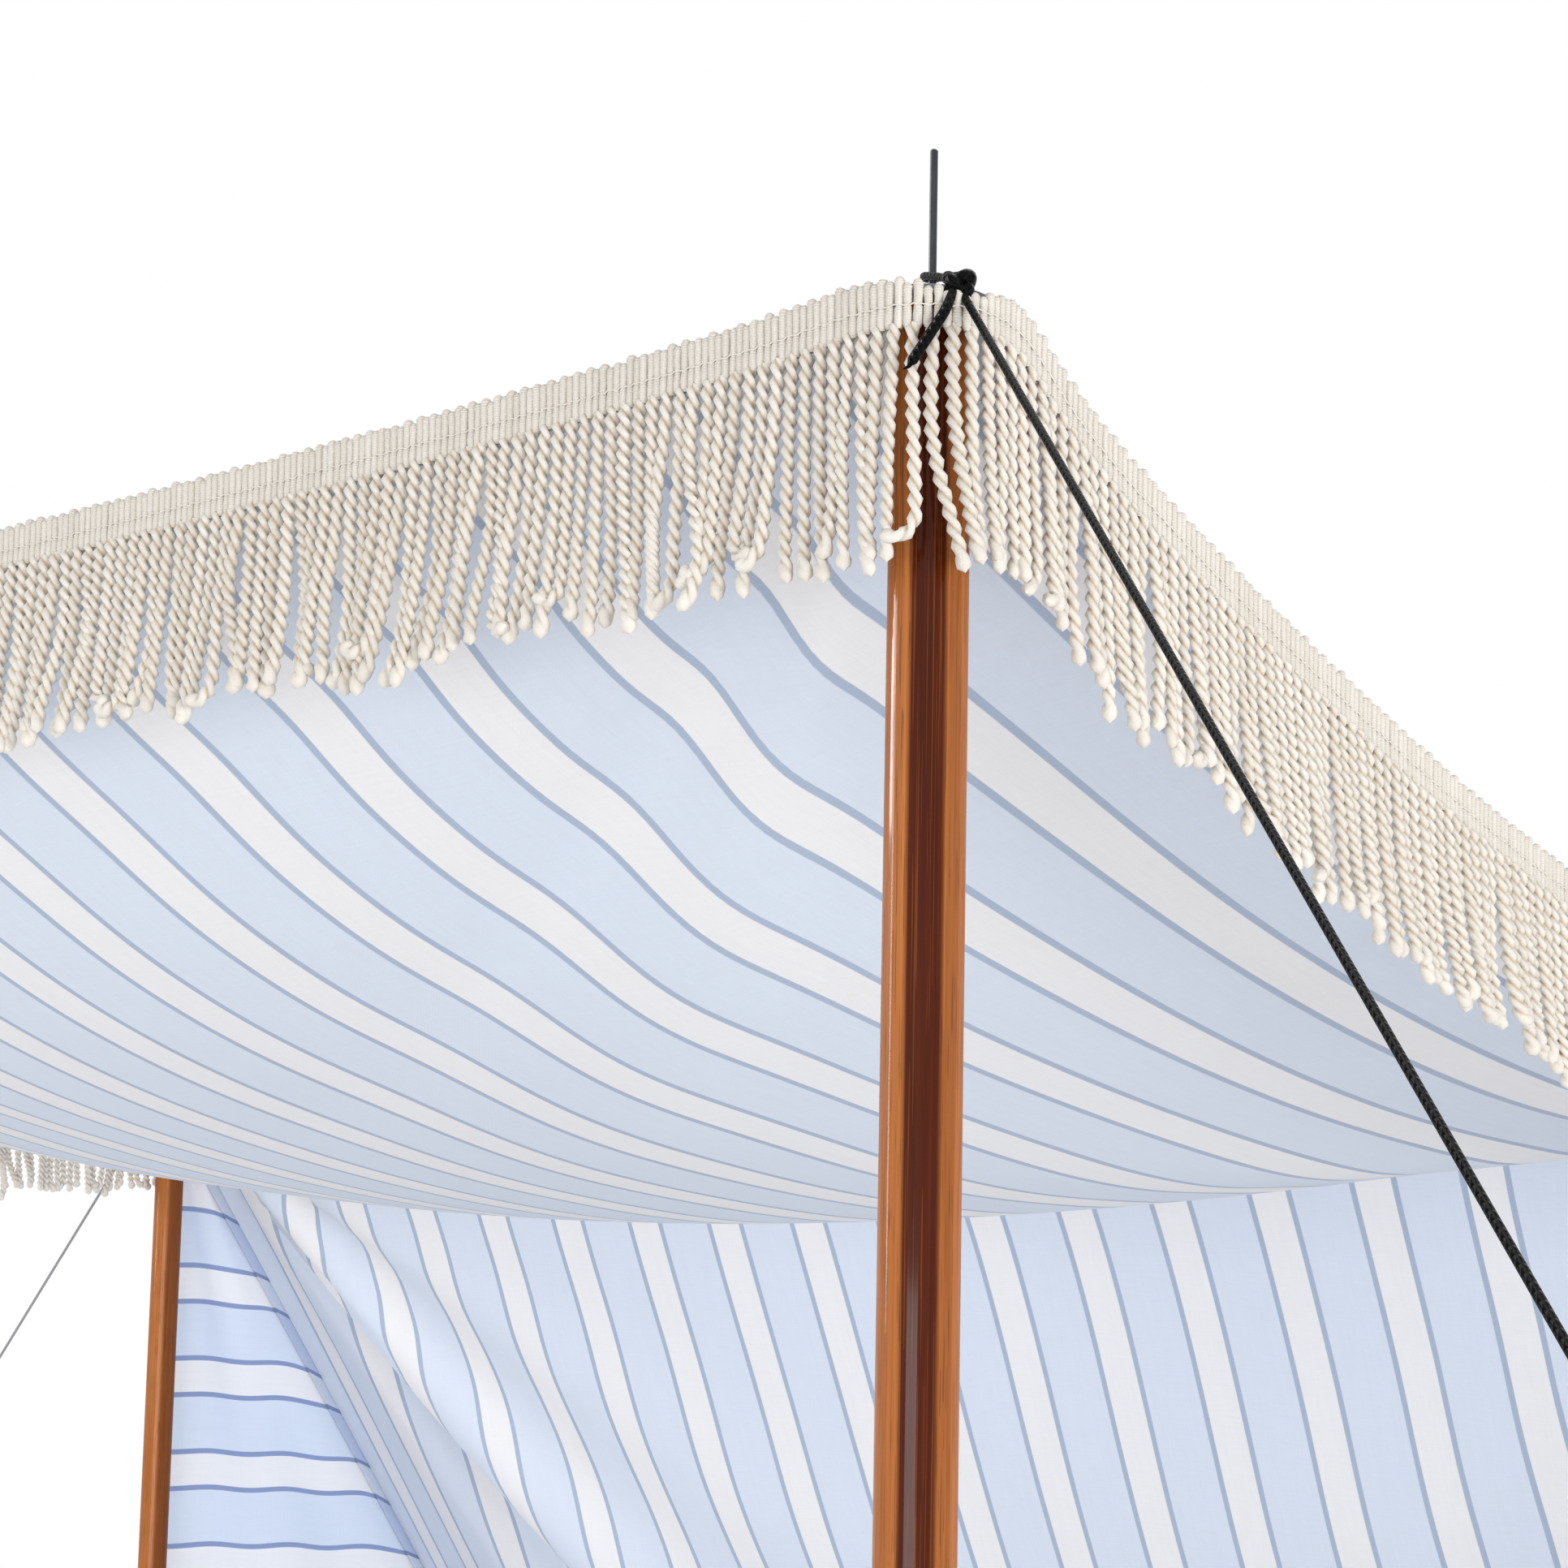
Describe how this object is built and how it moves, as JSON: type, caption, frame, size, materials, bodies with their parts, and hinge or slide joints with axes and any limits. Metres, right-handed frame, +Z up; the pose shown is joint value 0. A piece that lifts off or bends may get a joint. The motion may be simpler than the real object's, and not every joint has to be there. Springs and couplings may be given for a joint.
{
  "type": "beach canopy with windbreak wall",
  "caption": "Beach sun canopy: a sagging striped cloth roof on wooden poles, fringed at the front and sides, with a sloping windbreak wall at the back and guy ropes to pegs.",
  "frame": {"origin": "on the ground, under the middle of the whole footprint with guy ropes and pegs", "axes": "+X along the front edge to the right as seen from the front, +Y from the open front to the back wall, +Z up"},
  "size_m": [4.9766, 3.2146, 1.756],
  "materials": {
    "pole_wood": "glossy varnish, reddish brown",
    "pin_steel": "dull dark grey",
    "eyelet_brass": "satin",
    "striped_canvas": "plain weave, light blue with white bands",
    "fringe_cotton": "cream cotton bullion",
    "guy_cord": "black braided cord",
    "peg_steel": "galvanised",
    "loop_webbing": "cream cotton webbing"
  },
  "bodies": {
    "root": {"back_wall": "striped_canvas", "eyelet_front_left": "eyelet_brass", "eyelet_front_right": "eyelet_brass", "eyelet_rear_left": "eyelet_brass", "eyelet_rear_right": "eyelet_brass", "fringe_front": "fringe_cotton", "fringe_left": "fringe_cotton", "fringe_right": "fringe_cotton", "guy_peg_front_left": "peg_steel", "guy_peg_front_right": "peg_steel", "guy_peg_rear_left": "peg_steel", "guy_peg_rear_right": "peg_steel", "guy_rope_front_left": "guy_cord", "guy_rope_front_right": "guy_cord", "guy_rope_rear_left": "guy_cord", "guy_rope_rear_right": "guy_cord", "hem_loop_left": "loop_webbing", "hem_loop_middle": "loop_webbing", "hem_loop_right": "loop_webbing", "hem_peg_left": "peg_steel", "hem_peg_middle": "peg_steel", "hem_peg_right": "peg_steel", "knot_front_left": "guy_cord", "knot_front_right": "guy_cord", "knot_rear_left": "guy_cord", "knot_rear_right": "guy_cord", "pin_front_left": "pin_steel", "pin_front_right": "pin_steel", "pin_rear_left": "pin_steel", "pin_rear_right": "pin_steel", "pole_front_left": "pole_wood", "pole_front_right": "pole_wood", "pole_rear_left": "pole_wood", "pole_rear_right": "pole_wood", "roof_cloth": "striped_canvas", "side_wing_left": "striped_canvas", "side_wing_right": "striped_canvas"}
  },
  "joints": []
}
